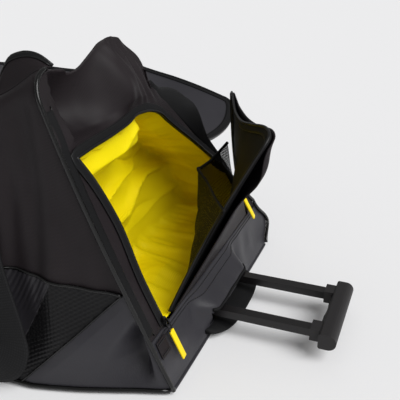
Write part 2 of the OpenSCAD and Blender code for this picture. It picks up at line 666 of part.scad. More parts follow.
// Moulded housing: an arch over the wheel with two cheeks that carry the axle
well_r = wheel_r + 5;
module housing_side() difference() {
    hull() {
        translate([housing_x0 + 16, housing_h - 16]) circle(16);
        translate([housing_x1 - 6, housing_h - 6]) circle(6);
        translate([housing_x1 - 6, 8]) square([6, 2]);
        translate([housing_x0, 22]) square([2, 2]);
    }
    translate([housing_x0 - cut_reach, -cut_reach])
        square([housing_x1 - housing_x0 + 2 * cut_reach, cut_reach]);
}
module wheel_housing(s) color(plastic) difference() {
    translate([0, s * wheel_track / 2 + housing_in, 0]) rotate([90, 0, 0]) linear_extrude(2 * housing_in)
        housing_side();
    translate([0, s * wheel_track / 2, 0]) rotate([90, 0, 0]) translate([0, 0, -housing_in + housing_wall])
        linear_extrude(2 * (housing_in - housing_wall)) {
            translate([wheel_cx, wheel_cz]) circle(well_r, $fn = 64);
            translate([wheel_cx - well_r - cut_reach, -cut_reach])
                square([2 * well_r + cut_reach, cut_reach + wheel_cz]);
            translate([wheel_cx - well_r - cut_reach, -cut_reach])
                square([well_r + cut_reach, cut_reach + wheel_cz + well_r]);
        }
    at_wheel(s) cylinder(h = 4 * housing_in, r = axle_r + 0.05, center = true);
}
module near_wheel_housing() wheel_housing(-1);
module far_wheel_housing() wheel_housing(1);

// Webbing carry straps: two legs sewn to the side and a hand loop between them
strap_tilt = 14;
strap_lift = 1.5;
module strap_shape(drop) difference() {
    translate([-strap_span / 2 - strap_w / 2, -drop]) square([strap_span + strap_w, drop]);
    translate([-strap_span / 2 + strap_w / 2, -drop + strap_w]) square([strap_span - strap_w, drop]);
}
module strap(drop) {
    rotate([90, 0, 0]) linear_extrude(strap_t, center = true) strap_shape(drop);
    for (s = [-1, 1]) translate([s * strap_span / 2, 0, 0]) rotate([0, 90, 0])
        cylinder(h = strap_w, r = strap_t / 2, center = true);
}
near_strap_y = near_y(strap_z) - belly(0, strap_z) - strap_t / 2 - 0.3;
near_drop = (strap_z - strap_lift) / cos(strap_tilt) - strap_t * tan(strap_tilt);
module near_carry_strap() color("#141415") translate([strap_x, near_strap_y, strap_z])
    rotate([-strap_tilt, 0, 0])
    strap(near_drop);
// The far strap lies on the folded-in far side, a little flatter than the wall
far_strap_z = far_h - 34;
far_drop = 238;
far_tilt = 47;
far_strap_off = strap_t / 2 + 1.6;
far_strap_y = far_y(far_strap_z) + belly(0, far_strap_z) + far_strap_off;
module far_carry_strap() color("#141415") translate([strap_x, far_strap_y, far_strap_z])
    rotate([far_tilt, 0, 0])
    strap(far_drop);

bottom_panel();
base_board();
near_side_panel();
near_embossed_panel();
near_corner_panel();
far_side_panel();
far_corner_panel();
end_upper_panel();
end_lower_panel();
wheel_end_panel();
near_top_border();
near_piping();
far_piping();
pocket_lining();
pocket_zip_tape();
pocket_flap();
flap_zip_tape();
flap_mesh();
near_slider();
near_pull();
far_slider();
far_pull();
main_lid();
lid_zip_tape();
main_slider();
main_pull();
handle_sleeve();
throat_lip();
front_bracket();
rear_bracket();
bracket_screws();
near_tube();
far_tube();
near_rod();
far_rod();
near_rod_plug();
far_rod_plug();
near_lock_pin();
far_lock_pin();
grip();
release_trigger();
near_wheel_housing();
far_wheel_housing();
near_axle();
far_axle();
near_tyre();
far_tyre();
near_hub();
far_hub();
near_carry_strap();
far_carry_strap();
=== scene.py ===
# Wheeled hockey equipment bag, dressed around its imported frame: a slumped cloth shell on a stiff base,
# an open end pocket with a yellow lining, a thrown-back lid, a telescopic handle and two wheels.
import bisect
import math

import bmesh
import bpy
from mathutils import Matrix, Vector, noise


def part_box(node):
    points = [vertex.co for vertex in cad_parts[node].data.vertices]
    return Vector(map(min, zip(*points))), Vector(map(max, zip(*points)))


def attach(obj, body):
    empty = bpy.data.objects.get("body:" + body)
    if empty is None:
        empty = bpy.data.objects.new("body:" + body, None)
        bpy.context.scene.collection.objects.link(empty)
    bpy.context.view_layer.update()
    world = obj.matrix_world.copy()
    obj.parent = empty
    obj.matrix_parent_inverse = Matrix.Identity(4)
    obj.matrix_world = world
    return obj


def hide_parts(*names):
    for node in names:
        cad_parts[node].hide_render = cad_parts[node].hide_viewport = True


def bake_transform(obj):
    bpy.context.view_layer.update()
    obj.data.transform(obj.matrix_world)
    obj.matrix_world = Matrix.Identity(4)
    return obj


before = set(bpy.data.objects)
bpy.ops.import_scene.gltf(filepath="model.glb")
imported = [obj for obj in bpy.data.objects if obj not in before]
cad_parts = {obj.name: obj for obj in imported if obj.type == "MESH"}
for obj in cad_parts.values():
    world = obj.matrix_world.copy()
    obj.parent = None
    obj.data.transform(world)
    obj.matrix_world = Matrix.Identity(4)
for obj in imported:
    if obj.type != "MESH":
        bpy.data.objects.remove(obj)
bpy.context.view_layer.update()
scene = bpy.context.scene

# Studio: a pale seamless floor under an even sky and one broad, soft key from the handle end. The camera
# stands off the near side, where the photo's vanishing points put it, and looks down on the open pocket.
camera_forward = Vector((-0.328, 0.850, -0.4115))
camera_data = bpy.data.cameras.new("camera")
camera_data.sensor_width = 36
camera_data.lens = 57.9
camera = bpy.data.objects.new("camera", camera_data)
camera.location = (0.755, -0.872, 0.610)
camera.rotation_euler = camera_forward.to_track_quat("-Z", "Y").to_euler()
scene.collection.objects.link(camera)
scene.camera = camera
scene.view_settings.view_transform = "Standard"


def linear(text):
    """An sRGB hex colour as linear RGBA."""
    parts = [int(text[i:i + 2], 16) / 255 for i in (1, 3, 5)]
    return [*(c / 12.92 if c <= 0.04045 else ((c + 0.055) / 1.055) ** 2.4 for c in parts), 1.0]


def finish(name, base_hex, roughness, **sockets):
    """A new material with its colour, roughness and other constants on the shader."""
    material = bpy.data.materials.new(name)
    material.use_nodes = True
    shader = material.node_tree.nodes["Principled BSDF"]
    shader.inputs["Base Color"].default_value = linear(base_hex)
    shader.inputs["Roughness"].default_value = roughness
    for socket, value in sockets.items():
        shader.inputs[socket.replace("_", " ")].default_value = value
    return material, material.node_tree, shader


sky_strength = 0.29
world = bpy.data.worlds.new("studio")
world.use_nodes = True
sky = world.node_tree.nodes["Background"]
sky.inputs["Color"].default_value = [1, 1, 1, 1]
sky.inputs["Strength"].default_value = sky_strength
scene.world = world

key_way = Vector((-0.67, 0.20, -0.715))
key_data = bpy.data.lights.new("key", "SUN")
key_data.energy = 3.0
key_data.angle = math.radians(46)
key = bpy.data.objects.new("key", key_data)
key.rotation_euler = key_way.to_track_quat("-Z", "Y").to_euler()
scene.collection.objects.link(key)

floor_half = 20
floor_drop = 0.0005
floor_bm = bmesh.new()
bmesh.ops.create_grid(floor_bm, x_segments=1, y_segments=1, size=floor_half)
floor_mesh = bpy.data.meshes.new("floor")
floor_bm.to_mesh(floor_mesh)
floor_bm.free()
floor_mesh.materials.append(finish("backdrop_paper", "#efeff0", 0.9, Specular_IOR_Level=0.0)[0])
floor = bpy.data.objects.new("floor", floor_mesh)
floor.location.z = -floor_drop
scene.collection.objects.link(floor)

# Base: coated cloth stretched under a stiff polyethylene board, whose grain is spark-eroded into its
# mould. The wheel housings are moulded in the same plastic.
base_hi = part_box("bottom_panel")[1]
half_len = base_hi.x
half_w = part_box("end_lower_panel")[1].y
side_bulge = base_hi.y - half_w
belly_top = 0.3
end_lean = math.radians(19.5)
wheel_lean = math.radians(7)


def end_x(z):
    """Outer face of the handle end at height z."""
    return half_len - math.tan(end_lean) * z


def wheel_x(z):
    """Outer face of the wheel end at height z."""
    return -half_len + math.tan(wheel_lean) * z


def reach(x, z):
    """Distance from the bag's middle to the end on the side of x."""
    return end_x(z) if x > 0 else -wheel_x(z)


def belly(x, z):
    """How far the sides swell out: level along the middle, and nothing at the ends and above belly_top."""
    return side_bulge * min(1.06, 1.64 * max(0, 1 - (x / reach(x, z)) ** 2)) * max(0, 1 - z / belly_top)


def cloth_grid(columns, rows, place, cut):
    """A grid of cloth laid by place(u, v), with a UV map in metres of the flat cut."""
    bm = bmesh.new()
    bmesh.ops.create_grid(bm, x_segments=columns, y_segments=rows, size=0.5)
    uv = bm.loops.layers.uv.new("cloth")
    for face in bm.faces:
        for loop in face.loops:
            loop[uv].uv = (loop.vert.co.x + 0.5) * cut[0], (loop.vert.co.y + 0.5) * cut[1]
    for vert in bm.verts:
        vert.co = place(vert.co.x + 0.5, vert.co.y + 0.5)
    return bm


def sew(name, bm, material, body="shell", nodes=(), thick=0.0, side=-1):
    """A finished piece from a bmesh: its mesh, finish, body and the CAD nodes that it stands for. A piece
    given no body is left unattached."""
    mesh = bpy.data.meshes.new(name)
    bm.to_mesh(mesh)
    bm.free()
    mesh.shade_smooth()
    mesh.materials.append(material)
    piece = bpy.data.objects.new(name, mesh)
    scene.collection.objects.link(piece)
    if thick:
        wall = piece.modifiers.new("thickness", "SOLIDIFY")
        wall.thickness = thick
        wall.offset = side
    if body:
        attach(piece, body)
    if nodes:
        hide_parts(*nodes)
    return piece


def add(tree, kind, inputs=None, **settings):
    """One node with its settings, its inputs given as values or as other nodes' outputs."""
    node = tree.nodes.new(kind)
    for name, value in settings.items():
        setattr(node, name, value)
    for name, value in (inputs or {}).items():
        if isinstance(value, bpy.types.NodeSocket):
            tree.links.new(value, node.inputs[name])
        else:
            node.inputs[name].default_value = value
    return node


def mottle(tree, shader, share, dark, light):
    """Shades the base colour from dark to light by another node's output."""
    ends = {6: linear(dark), 7: linear(light)}
    colour = add(tree, "ShaderNodeMix", {"Factor": share, **ends}, data_type="RGBA")
    tree.links.new(colour.outputs[2], shader.inputs["Base Color"])


def scuff(tree, shader, share, low, high):
    """Spreads the roughness from low to high by another node's output."""
    rough = add(tree, "ShaderNodeMapRange", {"Value": share, "To Min": low, "To Max": high})
    tree.links.new(rough.outputs[0], shader.inputs["Roughness"])


def grain_by(tree, shader, height, relief, strength):
    """Tilts the surface by another node's output, as a grain of the given relief."""
    bump = add(tree, "ShaderNodeBump", {"Height": height, "Distance": relief, "Strength": strength})
    tree.links.new(bump.outputs[0], shader.inputs["Normal"])


def coated(name, dark, light, grain, relief, roughness, gloss):
    """Cloth with a rolled-on polymer coat: a fine pebble grain under a soft, uneven sheen."""
    material, tree, shader = finish(name, dark, roughness, Specular_IOR_Level=gloss)
    place = add(tree, "ShaderNodeTexCoord")
    pebble = add(tree, "ShaderNodeTexVoronoi", {"Vector": place.outputs["UV"], "Scale": 1 / grain})
    cloud = add(tree, "ShaderNodeTexNoise", {"Vector": place.outputs["Object"], "Scale": 11, "Detail": 6})
    mottle(tree, shader, cloud.outputs["Fac"], dark, light)
    scuff(tree, shader, cloud.outputs["Fac"], roughness - 0.08, roughness + 0.1)
    grain_by(tree, shader, pebble.outputs["Distance"], relief, 0.5)
    return material


def moulded(name, base_hex, grain, relief, roughness, **sockets):
    """Moulded plastic, rubber or drawn metal with a fine surface grain."""
    material, tree, shader = finish(name, base_hex, roughness, **sockets)
    place = add(tree, "ShaderNodeTexCoord")
    grit = add(tree, "ShaderNodeTexNoise",
               {"Vector": place.outputs["Object"], "Scale": 1 / grain, "Detail": 3})
    scuff(tree, shader, grit.outputs["Fac"], roughness - 0.06, roughness + 0.06)
    grain_by(tree, shader, grit.outputs["Fac"], relief, 0.4)
    return material


def dress(material, *nodes):
    """Gives CAD nodes that keep their shape a finish of their own."""
    for node in nodes:
        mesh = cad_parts[node].data
        mesh.materials.clear()
        mesh.materials.append(material)


grey_coat = coated("coated_polyester", "#232226", "#323136", 0.0022, 0.0003, 0.42, 0.32)
base_plastic = moulded("polyethylene_board", "#1c1c1e", 0.0015, 0.0002, 0.55)
dress(base_plastic, "base_board", "near_wheel_housing", "far_wheel_housing")


def base_place(u, v):
    """The bottom, tucked in a little below the walls, with its edges turned up."""
    tucked_in, floor_z, turned_up = 0.002, 0.0004, 0.0016
    x = -half_len + 2 * half_len * u
    side = 2 * v - 1
    return Vector((x, side * (half_w + belly(x, 0) - tucked_in), floor_z + turned_up * side ** 8))


bottom_cloth = sew("bottom_cloth", cloth_grid(60, 40, base_place, (2 * half_len, 2 * half_w)), grey_coat,
                   nodes=["bottom_panel"], thick=0.0024, side=1)

# Near side: one wall of black polyester that swells out at the floor and rounds over at the top. Its
# top edge sags beside the handle end, where nothing props it up, and the cloth hangs in soft folds.
near_h = 0.440
top_round = 0.034
near_lean = 0.040
wall_z0 = 0.0035
wall_rows = 0.85
seam_gap = 0.0006
sag_from = 0.18
fold_top = 0.40
fold_fade = 0.04


def wave_scale(period):
    """The Wave texture's scale for bands that repeat every period metres."""
    return 2 * math.pi / (20 * period)


def crossed(tree, vector, pitch):
    """The product of two sets of bands that cross at right angles, a pitch apart."""
    lay = {"Vector": vector, "Scale": wave_scale(pitch)}
    bands = [add(tree, "ShaderNodeTexWave", lay, bands_direction=way).outputs["Fac"] for way in ("X", "Y")]
    return add(tree, "ShaderNodeMath", {0: bands[0], 1: bands[1]}, operation="MULTIPLY").outputs[0]


def woven(name, dark, light, pitch, relief, roughness):
    """Plain-woven yarn: crossing threads, faded unevenly. The yarn is finer than a pixel,
    so its pitch is drawn about three times as coarse as the real one."""
    material, tree, shader = finish(name, dark, roughness, Specular_IOR_Level=0.2)
    place = add(tree, "ShaderNodeTexCoord")
    weave = crossed(tree, place.outputs["UV"], pitch)
    fade = add(tree, "ShaderNodeTexNoise", {"Vector": place.outputs["Object"], "Scale": 14, "Detail": 5})
    tone = add(tree, "ShaderNodeMath", {0: fade.outputs["Fac"], 1: weave}, operation="MULTIPLY")
    spread = add(tree, "ShaderNodeMapRange", {"Value": tone.outputs[0], "From Max": 0.5})
    mottle(tree, shader, spread.outputs[0], dark, light)
    grain_by(tree, shader, weave, relief, 0.6)
    return material


def smooth(points, steps):
    """A smooth curve through points, with steps pieces between each two."""
    p = [Vector(q) for q in points]
    out = []
    for i in range(len(p) - 1):
        a, b, c, d = p[max(0, i - 1)], p[i], p[i + 1], p[min(len(p) - 1, i + 2)]
        for t in (k / steps for k in range(steps)):
            out.append(0.5 * (2 * b + (c - a) * t + (2 * a - 5 * b + 4 * c - d) * t ** 2
                              + (3 * b - a - 3 * c + d) * t ** 3))
    return out + [p[-1]]


def level(curve, x):
    """Height of a curve of rising (x, height) points at x."""
    i = min(max(bisect.bisect_left([q.x for q in curve], x), 1), len(curve) - 1)
    a, b = curve[i - 1], curve[i]
    return a.y + (b.y - a.y) * min(1, max(0, (x - a.x) / (b.x - a.x)))


sag_line = smooth([(0.100, 0), (0.118, 0.001), (0.140, 0.014), (0.170, 0.040), (0.200, 0.050), (0.228, 0.046),
                   (0.250, 0.037), (0.272, 0.025), (0.300, 0.006), (0.312, 0.001), (0.330, 0)], 5)


def near_y(z):
    """Outer face of the near side at its two ends."""
    flat = -half_w - near_lean * math.sin(math.pi / 2 * min(1, z / (near_h - top_round)))
    over = min(1, max(0, z - near_h + top_round) / top_round)
    return flat + top_round * (1 - math.sqrt(1 - over * over))


def drape(x, z, size=1.0):
    """Soft upright folds that fade out at the floor and at the two ends, and sink in more than they stand
    out."""
    fold_depth, fold_foot = 0.028, 0.12
    wave = noise.noise(Vector((x * 13, z * 2.0, 3.7))) + 0.5 * noise.noise(Vector((x * 31, z * 3.5, 9.1)))
    wave = min(wave, 0.12 + 0.15 * wave)
    return fold_depth * size * wave * min(1, z / fold_foot) * (1 - min(1, abs(x) / reach(x, z)) ** 10)


def hill(x, width):
    """A smooth rise of height one round zero."""
    return math.exp(-(x / width) ** 2)


def ease(t):
    """A smooth rise from 0 to 1."""
    t = min(1, max(0, t))
    return t * t * (3 - 2 * t)


def dent(x, z):
    """The tuck beside the end seam: a fan of cloth drawn in from its left edge to a crease on its right."""
    tuck_top, tuck_depth = 0.127, 0.031
    low = max(0, (tuck_top - z) / tuck_top)
    left = 0.421 - 0.090 * low
    crease = 0.4225 + 0.008 * low
    if x < crease:
        share = ease((x - left) / max(0.002, crease - left)) ** 1.4
    else:
        share = 1 - ease((x - crease) / (0.005 + 0.022 * low))
    swell = 0.007 * hill(x - 0.325 - 0.5 * z, 0.040) * hill(z - 0.085, 0.03)
    return tuck_depth * share * ease(low / 0.4) * (1 - ease((low - 0.55) / 0.45)) - swell


def near_skin(x, z, proud=0.0):
    """A point of the near wall, proud by a little where a panel is sewn on."""
    high = z - level(sag_line, x) * (max(0, z - sag_from) / (near_h - sag_from)) ** 2
    fade = 1 - max(0, z - fold_top) / fold_fade
    return Vector((x, near_y(z) - belly(x, z) - drape(x, z) * fade + dent(x, z) - proud, high))


def near_place(u, v):
    """The wall, with its rounded top in the last rows. It gives way under the panels sewn on the corner."""
    give = 0.004
    straight = near_h - top_round
    if v < wall_rows:
        z = wall_z0 + (straight - wall_z0) * v / wall_rows
    else:
        z = straight + top_round * math.sin(math.pi / 2 * (v - wall_rows) / (1 - wall_rows))
    x0, x1 = wheel_x(z) + seam_gap, end_x(z) - seam_gap
    x = x0 + (x1 - x0) * u
    under = give * ease((x - 0.20) / 0.02) * ease((0.145 - z) / 0.01) * ease((x1 - x) / 0.01)
    return near_skin(x, min(z, near_h - 0.0002), -under)


black_weave = woven("black_polyester", "#151113", "#312a2d", 0.0018, 0.0002, 0.55)
near_cloth = sew("near_side_cloth", cloth_grid(170, 80, near_place, (0.86, 0.46)), black_weave,
                 nodes=["near_side_panel"], thick=0.0028)

# Lower near corner: film embossed with a honeycomb, with a plain ribbed strip beside it, and a grey
# coated corner panel below the diagonal seam, slightly puffed between its seams.
emboss_x0 = 0.185
emboss_top = 0.182
diag_x0 = half_len - 0.213
diag_slope = 0.965
cell = 0.0056
strip_slope = 0.51
rib_pitch = 0.0075
corner_top = 0.163


def seam_z(x):
    """Height of the embossed panel's upper seam."""
    return 0.158 + 0.14 * max(0, 0.405 - x)


def diag_x(z):
    """Place of the diagonal seam at height z."""
    return diag_x0 + diag_slope * z


def honeycomb(x, z):
    """Raised rims of pressed six-sided cells, from -0.5 to 1."""
    k = 2 * math.pi / cell
    turns = (0, math.pi / 3, 2 * math.pi / 3)
    return sum(math.cos(k * (x * math.cos(a) + z * math.sin(a))) for a in turns) / 3


def strip_edge(z):
    """Where the plain ribbed strip ends and the honeycomb begins."""
    return 0.317 - strip_slope * (0.169 - z)


def emboss_place(u, v):
    """The embossed panel, cut off by its slanting upper seam and by the diagonal seam."""
    low = wall_z0 + 0.004
    z = low + (emboss_top - low) * v
    x1 = min(diag_x(z), end_x(z) - 0.003)
    x = emboss_x0 + (x1 - emboss_x0) * u
    z = min(z, seam_z(x))
    if x < strip_edge(z):
        rib = math.cos(2 * math.pi * (x - strip_slope * z) / rib_pitch)
        relief = 0.0012 + 0.0004 * rib * min(1, max(0, (z - 0.10) / 0.04))
    else:
        relief = 0.0009 * honeycomb(x, z)
    return near_skin(x, z, 0.0016 + relief)


embossed_film = coated("embossed_film", "#0a0a0b", "#131214", 0.0015, 0.0002, 0.42, 0.2)
embossed = sew("embossed_cloth", cloth_grid(200, 120, emboss_place, (0.2, 0.17)), embossed_film,
               nodes=["near_embossed_panel"], thick=0.0012)
embossed.data.materials.append(coated("ribbed_film", "#1d1c1f", "#2b292d", 0.0015, 0.0002, 0.42, 0.3))
for face in embossed.data.polygons:
    face.material_index = int(face.center.x < strip_edge(face.center.z))


def corner_place(u, v):
    """The corner panel, from the diagonal seam to the end seam."""
    puff_height, puff_rim = 0.004, 0.02
    z = wall_z0 + (corner_top - wall_z0) * v
    x0, x1 = diag_x(z), end_x(z) - 0.0008
    x = x0 + (max(x0 + 0.0004, x1) - x0) * u
    puff = puff_height * min(1, (x1 - x) / puff_rim) * min(1, (x - x0) / puff_rim) * min(1, z / 0.04)
    return near_skin(x, z, 0.0018 + puff)


corner = sew("corner_cloth", cloth_grid(110, 70, corner_place, (0.2, 0.16)), grey_coat,
             nodes=["near_corner_panel"], thick=0.0016)

# Seam cords: piping is a vinyl-covered cord sewn into a seam. It runs up both edges of the handle
# end, along the diagonal seam, over the embossed panel and round the floor.
gloss_vinyl = moulded("piping_vinyl", "#070707", 0.003, 0.00005, 0.26, Specular_IOR_Level=0.42)
piping_r = 0.0030
piping_out = 0.0022
piping_foot = 0.006


def swept(points, radius, sides=10):
    """A round cord along points: a circle extruded from point to point."""
    bm = bmesh.new()
    last = len(points) - 1
    across = (points[1] - points[0]).orthogonal().normalized()
    ring = list(bmesh.ops.create_circle(bm, cap_ends=True, segments=sides, radius=radius)["verts"])
    for n, point in enumerate(points):
        tangent = (points[min(n + 1, last)] - points[max(n - 1, 0)]).normalized()
        across = (across - tangent * across.dot(tangent)).normalized()
        up = tangent.cross(across)
        if n:
            pairs = zip(ring, ring[1:] + ring[:1])
            loop = [next(e for e in a.link_edges if b in e.verts) for a, b in pairs]
            grown = bmesh.ops.extrude_edge_only(bm, edges=loop)["geom"]
            new = {v for v in grown if isinstance(v, bmesh.types.BMVert)}
            ring = [next(v for v in (e.other_vert(old) for e in old.link_edges) if v in new) for old in ring]
        for i, vert in enumerate(ring):
            a = 2 * math.pi * i / sides
            vert.co = point + radius * (across * math.cos(a) + up * math.sin(a))
    bmesh.ops.contextual_create(bm, geom=ring)
    bmesh.ops.recalc_face_normals(bm, faces=bm.faces)
    return bm


def steps(first, last, count):
    """Even steps from first to last."""
    return [first + (last - first) * i / count for i in range(count + 1)]


corner_turn = [near_h - top_round + top_round * math.sin(math.radians(9 * i)) for i in range(1, 11)]
near_cord_points = [Vector((end_x(z) + piping_out, near_y(z) - piping_out, z))
                    for z in steps(piping_foot, 0.406, 40) + corner_turn]
sew("near_piping_cord", swept(near_cord_points, piping_r), gloss_vinyl, nodes=["near_piping"])

knee_z = 0.093
far_h = 0.320
far_top_y = 0.040
far_slope = (far_top_y - half_w) / (far_h - knee_z)
far_push = 0.042
far_push_z = 0.036


def far_y(z):
    """Outer face of the far side at its ends: upright to the knee, then folded inwards."""
    return half_w if z < knee_z else half_w + far_slope * (z - knee_z)


def far_edge(z):
    """The far edge of the handle end, whose lower corner is pushed out by the cloth behind it."""
    return far_y(z) + far_push * hill(z - far_push_z, 0.034) * ease(z / 0.035)


far_cord_points = [Vector((end_x(z) + piping_out, far_edge(z) + 0.0015, z))
                   for z in steps(piping_foot, 0.20, 60)]
sew("far_piping_cord", swept(far_cord_points, piping_r), gloss_vinyl, nodes=["far_piping"])
seam_cords = {
    "diagonal_seam_cord": ([near_skin(diag_x(z), z, 0.0028) for z in steps(wall_z0, 0.158, 30)], 0.0014),
    "panel_seam_cord": ([near_skin(x, seam_z(x), 0.0022) for x in steps(emboss_x0, 0.408, 40)], 0.0022),
    "bottom_hem_cord": ([near_skin(x, piping_foot, 0.003) for x in steps(-0.46, 0.465, 80)], 0.0035)}
for cord_name, (cord_points, cord_r) in seam_cords.items():
    sew(cord_name, swept(cord_points, cord_r, 8), gloss_vinyl)

# Handle end, upper part: black polyester around the pocket opening. Its top edge dips beside the
# near corner and humps up over the slumped lining; the cloth is hollow between the two.
hump_y = -0.075
hinge_z = 0.088
hinge_half = 0.196
open_top = 0.337
end_foot = hinge_z - 0.006
near_rim = smooth([(-hinge_half, hinge_z), (-hinge_half - 0.011, hinge_z + 0.072),
                   (-hinge_half - 0.013, hinge_z + 0.137), (-hinge_half - 0.020, open_top - 0.073),
                   (-hinge_half - 0.032, open_top - 0.035), (-hinge_half - 0.048, open_top - 0.002)], 8)
top_rim = smooth([(-hinge_half - 0.048, open_top - 0.002), (-hinge_half - 0.010, open_top - 0.001),
                  (hump_y - 0.075, open_top - 0.001), (hump_y - 0.029, open_top + 0.001),
                  (hump_y - 0.005, open_top + 0.005), (hump_y + 0.019, open_top + 0.0035),
                  (hump_y + 0.043, open_top - 0.001), (hump_y + 0.069, open_top - 0.012),
                  (hump_y + 0.086, open_top - 0.028), (hump_y + 0.114, open_top - 0.052),
                  (hump_y + 0.152, open_top - 0.083), (hump_y + 0.205, open_top - 0.130),
                  (hump_y + 0.229, hinge_z + 0.098), (hinge_half - 0.009, hinge_z + 0.020),
                  (hinge_half, hinge_z)], 8)
rim_curve = near_rim + top_rim[1:]
near_rise = [(near_y(z), z) for z in steps(end_foot, near_h - top_round, 6)]
crest = [(hump_y - 0.108, near_h - 0.009), (hump_y - 0.093, near_h - 0.015), (hump_y - 0.078, near_h - 0.015),
         (hump_y - 0.061, near_h - 0.007), (hump_y - 0.040, near_h + 0.004), (hump_y - 0.022, near_h + 0.009),
         (hump_y, near_h + 0.009), (hump_y + 0.017, near_h + 0.007), (hump_y + 0.035, near_h - 0.002),
         (hump_y + 0.052, near_h - 0.022), (hump_y + 0.061, near_h - 0.040), (hump_y + 0.064, near_h - 0.068),
         (far_top_y - 0.026, far_h + 0.028), (far_top_y, far_h)]
outer_curve = smooth(near_rise + [(near_y(z), z) for z in corner_turn[1::3]] + crest
                     + [(0.125, 0.2185), (half_w, knee_z), (half_w, end_foot)], 10)


def measured(points):
    """A curve with the running length at each of its points."""
    run = [0.0]
    for a, b in zip(points, points[1:]):
        run.append(run[-1] + (b - a).length)
    return points, run


def along(curve, t):
    """The point at the share t of a measured curve's length."""
    points, run = curve
    want = min(max(t, 0), 1) * run[-1]
    i = min(max(bisect.bisect_right(run, want) - 1, 0), len(points) - 2)
    return points[i].lerp(points[i + 1], min(1, (want - run[i]) / max(run[i + 1] - run[i], 1e-9)))


def end_point(y, z, off=0.0):
    """A point of the leaning end plane, off its outer face along the normal."""
    return Vector((end_x(z) + off * math.cos(end_lean), y, z + off * math.sin(end_lean)))


end_ridges = [(-0.098, 0.46, 0.0040), (-0.076, 0.42, 0.0050), (-0.052, 0.40, 0.0045), (-0.030, 0.36, 0.003)]
ridge_w = 0.0075
hollow_depth = 0.050
bulge_height = 0.020


def end_fold(y, z):
    """Depth of the folds in the upper end panel: a hollow beside the hump and ridges below its top."""
    t = min(1, max(0, (z - open_top) / (near_h - open_top)))
    s = min(1, max(0, (y + 0.236) / 0.148))
    hollow = -hollow_depth * math.sin(math.pi * t) ** 0.8 * math.sin(math.pi * s ** 0.55) ** 1.3
    hollow += bulge_height * math.sin(math.pi * t ** 1.1) * hill(y + 0.105 - 0.20 * (0.44 - z), 0.038)
    ridges = 0.0
    for start, run, height in end_ridges:
        ridges += height * hill(y - start - (0.446 - z) * run, ridge_w)
    crumple = 0.007 * noise.noise(Vector((y * 20, z * 16, 7.7)))
    crumple += 0.004 * noise.noise(Vector((y * 46, z * 20, 2.4)))
    return hollow + (ridges + crumple) * min(1, t / 0.2)


rim_path = measured([Vector((-hinge_half, end_foot))] + rim_curve + [Vector((hinge_half, end_foot))])
outer_path = measured(outer_curve)


def end_upper_place(u, v):
    """The panel from the opening's rim out to the edge of the end."""
    p = along(rim_path, u).lerp(along(outer_path, u), v)
    return end_point(p.x, p.y, -0.0005 + end_fold(p.x, p.y) * min(1, v / 0.2))


end_cloth = sew("end_black_cloth", cloth_grid(240, 40, end_upper_place, (1.2, 0.12)), black_weave,
                nodes=["end_upper_panel"], thick=0.0024)


def band_place(u, v):
    """The bound band beside the near piping, in darker tape cloth: partly the binding's own colour and partly
    painted shade.
    """
    z = 0.090 + 0.306 * u
    return end_point(near_y(z) + 0.0020 + 0.0140 * v, z, 0.0012 + end_fold(near_y(z) + 0.016 * v, z) * v)


band_seam_points = [end_point(near_y(z) + 0.0165, z, 0.0004) for z in steps(0.086, 0.400, 40)]
sew("near_band_seam", swept(band_seam_points, 0.0010, 6), gloss_vinyl)
# The tape cloth's dark tone is the zip tape's own colour. Where it is cut for the flap's inner layer, the
# near band and the far fold, it is also painted shade.
tape_and_shade_cloth = woven("zip_tape", "#0b0b0c", "#171719", 0.0016, 0.0002, 0.7)
# The band's darker cloth is partly a real binding and partly painted shade on a strip that the key light
# leaves lit.
band = sew("near_band_binding", cloth_grid(60, 6, band_place, (0.32, 0.0155)), tape_and_shade_cloth,
           thick=0.001, side=1)

# Handle end, lower part: grey coated cloth below the pocket's hinge seam, with the slot that the
# handle comes out of. Two rows of stitching hold the seam, and a patch stops the zip's foot.
slot_lo, slot_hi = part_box("throat_lip")
handle_y = (slot_lo.y + slot_hi.y) / 2
slot_half = (slot_hi.y - slot_lo.y) / 2
slot_z0 = slot_lo.z + 0.003
slot_z1 = slot_z0 + 0.0385
lower_foot = 0.0045
lower_top = hinge_z - 0.0065
awning = Vector((0.033, 0, -0.008))
awning_half = 0.105
awning_fade = 0.045
patch_w = 0.026
patch_h = 0.024


def lower_off(y, z):
    """Slack of the lower panel, most half way up."""
    v = (z - lower_foot) / (lower_top - lower_foot)
    slack = 0.005 * noise.noise(Vector((y * 10, z * 16, 1.3)))
    slack += 0.003 * noise.noise(Vector((y * 24, z * 30, 6.3)))
    return -0.0004 + slack * math.sin(math.pi * min(1, max(0, v)))


def lower_point(y, z, proud=0.0):
    """A point of the lower panel, which stands out like an awning over the handle's slot."""
    drop = ease((lower_top - z) / (lower_top - slot_z1)) * ease(min(z, slot_z1) / slot_z1)
    out = drop * ease((awning_half - abs(y - handle_y)) / awning_fade)
    return end_point(y, z, lower_off(y, z) + proud) + awning * out


def lower_place(u, v):
    z = lower_foot + (lower_top - lower_foot) * v
    return lower_point(near_y(z) + (far_edge(z) - near_y(z)) * u, z)


lower_bm = cloth_grid(130, 26, lower_place, (0.46, 0.085))
slot_head = slot_z1 - 0.0095
in_slot = [f for f in lower_bm.faces if abs(f.calc_center_median().y - handle_y) < slot_half
           and slot_z0 < f.calc_center_median().z < slot_head]
bmesh.ops.delete(lower_bm, geom=in_slot, context="FACES")
lower_cloth = sew("end_grey_cloth", lower_bm, grey_coat, nodes=["end_lower_panel"],
                  thick=0.0024)


def stitched(lines, length, pitch, size):
    """Rows of stitches: short threads laid along lines, one after the other."""
    bm = bmesh.new()
    for line in lines:
        curve = measured(line)
        count = int(curve[1][-1] / pitch)
        for k in range(count):
            a, b = along(curve, k / count), along(curve, (k + length / pitch) / count)
            turn = (b - a).to_track_quat("X", "Z").to_matrix().to_4x4()
            shape = Matrix.Diagonal(((b - a).length, size, size, 1))
            bmesh.ops.create_cube(bm, size=1, matrix=Matrix.Translation((a + b) / 2) @ turn @ shape)
    return bm


